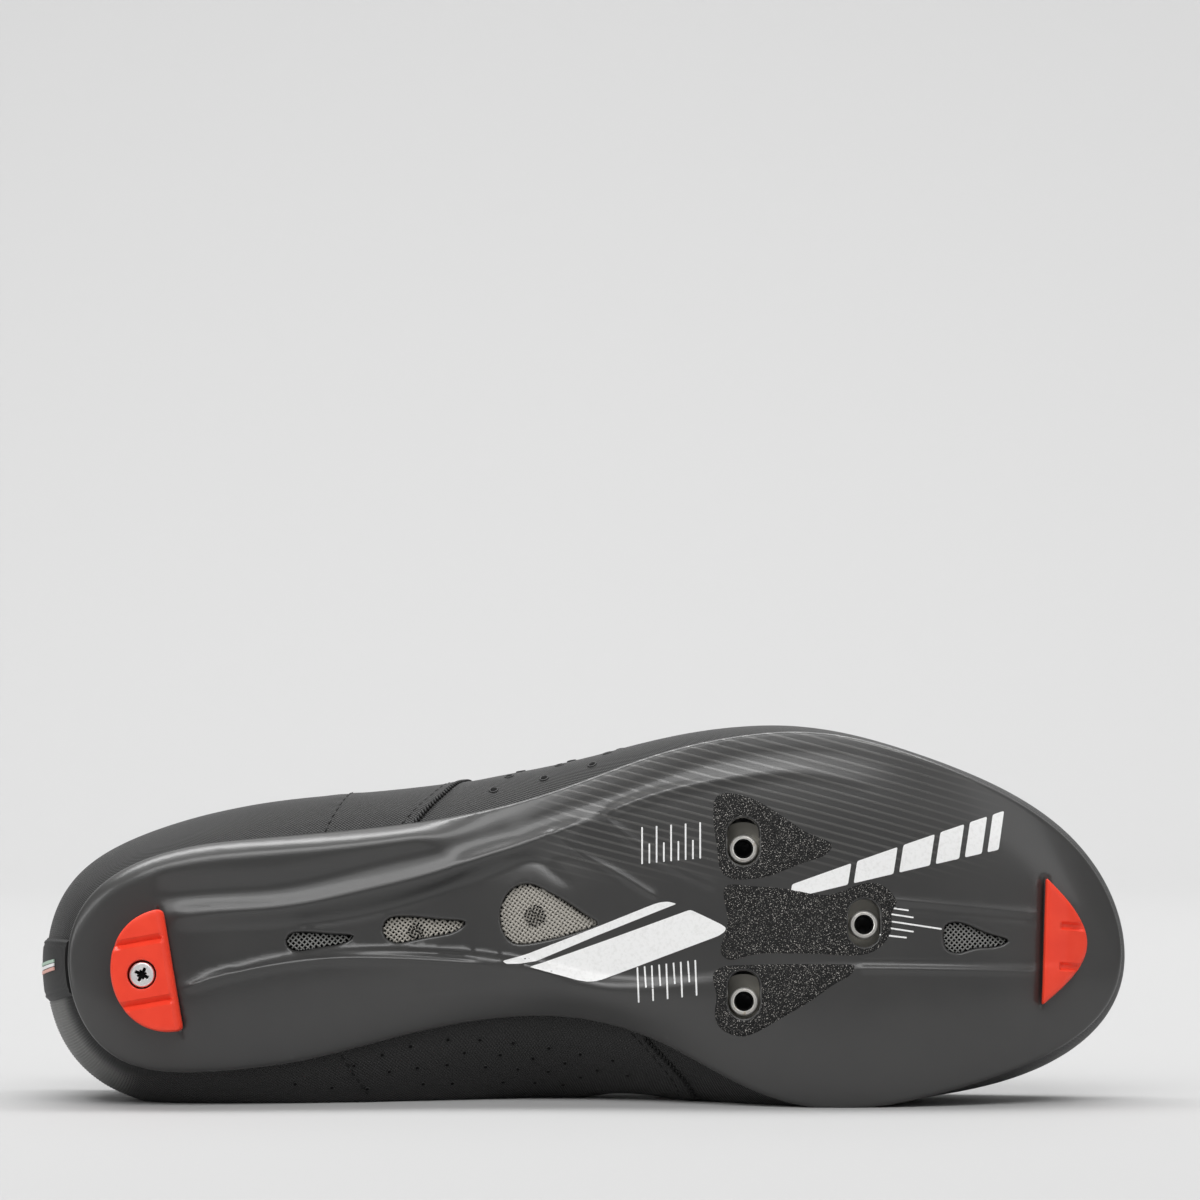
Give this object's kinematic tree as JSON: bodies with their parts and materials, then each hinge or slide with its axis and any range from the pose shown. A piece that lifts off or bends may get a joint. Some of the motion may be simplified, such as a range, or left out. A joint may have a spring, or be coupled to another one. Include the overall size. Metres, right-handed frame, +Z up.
{
  "type": "cycling shoe",
  "caption": "Right road cycling shoe lying on its medial side: stiff contoured sole with cleat nuts in cross slots, vents, heel pad and toe bumper under a low black upper with straps.",
  "frame": {"origin": "centre of the bounding box's bottom face, on the floor that the shoe lies on", "axes": "+X from heel to toe, -Y the way the sole faces, +Z up, towards the lateral side"},
  "size_m": [0.297, 0.1036, 0.1027],
  "materials": {
    "upper": "black microfibre, fine woven texture",
    "insole": "dark textile-covered foam",
    "tongue": "padded textile",
    "strap_instep": "hook-and-loop strap, synthetic leather face",
    "strap_forefoot": "hook-and-loop strap, synthetic leather face",
    "heel_strip": "stitched synthetic strip",
    "outsole": "satin carbon composite",
    "heel_pad": "red urethane, satin",
    "toe_bumper": "red urethane, satin",
    "heel_pad_screw": "zinc-plated screw",
    "cleat_nut_front": "stainless threaded insert",
    "cleat_nut_medial": "stainless threaded insert",
    "cleat_nut_lateral": "stainless threaded insert",
    "vent_screen_rear": "woven beige-grey mesh",
    "vent_screen_middle": "woven beige-grey mesh",
    "vent_screen_arch": "woven beige-grey mesh",
    "vent_screen_toe": "woven beige-grey mesh"
  },
  "bodies": {
    "root": {"upper": "upper", "insole": "insole", "tongue": "tongue", "strap_instep": "strap_instep", "strap_forefoot": "strap_forefoot", "heel_strip": "heel_strip", "outsole": "outsole", "heel_pad": "heel_pad", "toe_bumper": "toe_bumper", "heel_pad_screw": "heel_pad_screw", "cleat_nut_front": "cleat_nut_front", "cleat_nut_medial": "cleat_nut_medial", "cleat_nut_lateral": "cleat_nut_lateral", "vent_screen_rear": "vent_screen_rear", "vent_screen_middle": "vent_screen_middle", "vent_screen_arch": "vent_screen_arch", "vent_screen_toe": "vent_screen_toe"}
  },
  "joints": []
}
